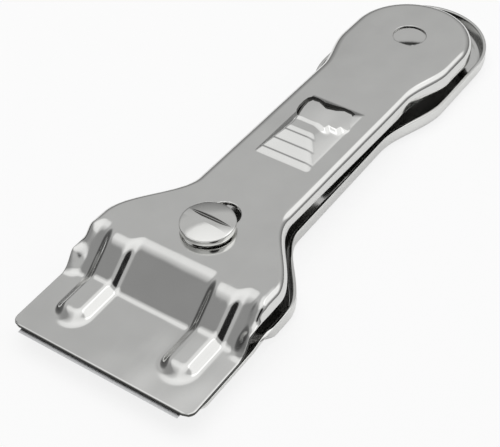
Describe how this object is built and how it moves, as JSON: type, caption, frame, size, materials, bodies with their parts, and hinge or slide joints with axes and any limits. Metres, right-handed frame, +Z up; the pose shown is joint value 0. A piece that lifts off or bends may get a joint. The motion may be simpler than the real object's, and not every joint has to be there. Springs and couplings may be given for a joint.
{
  "type": "glass scraper",
  "caption": "Hand scraper for glass and hobs: pressed steel shells slide on each other and clamp a flat blade with a slotted screw; beads, thumb ramp and a hang hole in the round end.",
  "frame": {"origin": "centre of the bounding box on the plane the lower shell lies on", "axes": "+X to the right, +Y from the blade back to the hanging end, +Z up from the lower shell to the screw head"},
  "size_m": [0.044, 0.1388, 0.015],
  "materials": {
    "plated_sheet": "polished nickel plate, slightly satin",
    "blade_steel": "ground, fine lengthwise marks",
    "bush_steel": "turned, plated",
    "washer_steel": "stamped, plated",
    "screw_plate": "bright plated"
  },
  "bodies": {
    "base": {"lower_shell": "plated_sheet", "clamp_bush": "bush_steel", "blade": "blade_steel"},
    "upper": {"upper_shell": "plated_sheet"},
    "washer": {"clamp_washer": "washer_steel"},
    "screw": {"clamp_screw": "screw_plate"}
  },
  "joints": [
    {"name": "upper_slide", "type": "slide", "parent": "base", "child": "upper", "axis": [0, 1, 0], "range_m": [-0.005, 0.002]},
    {"name": "washer_lift", "type": "slide", "parent": "base", "child": "washer", "axis": [0, 0, 1], "range_m": [0, 0.0016]},
    {"name": "screw_turn", "type": "hinge", "parent": "washer", "child": "screw", "pos_m": [0, -0.0321, 0.013], "axis": [0, 0, 1], "range_deg": [0, 720]}
  ],
  "couplings": [
    {"joint": "screw_turn", "follows": "washer_lift", "rad_per_m": 7854}
  ]
}
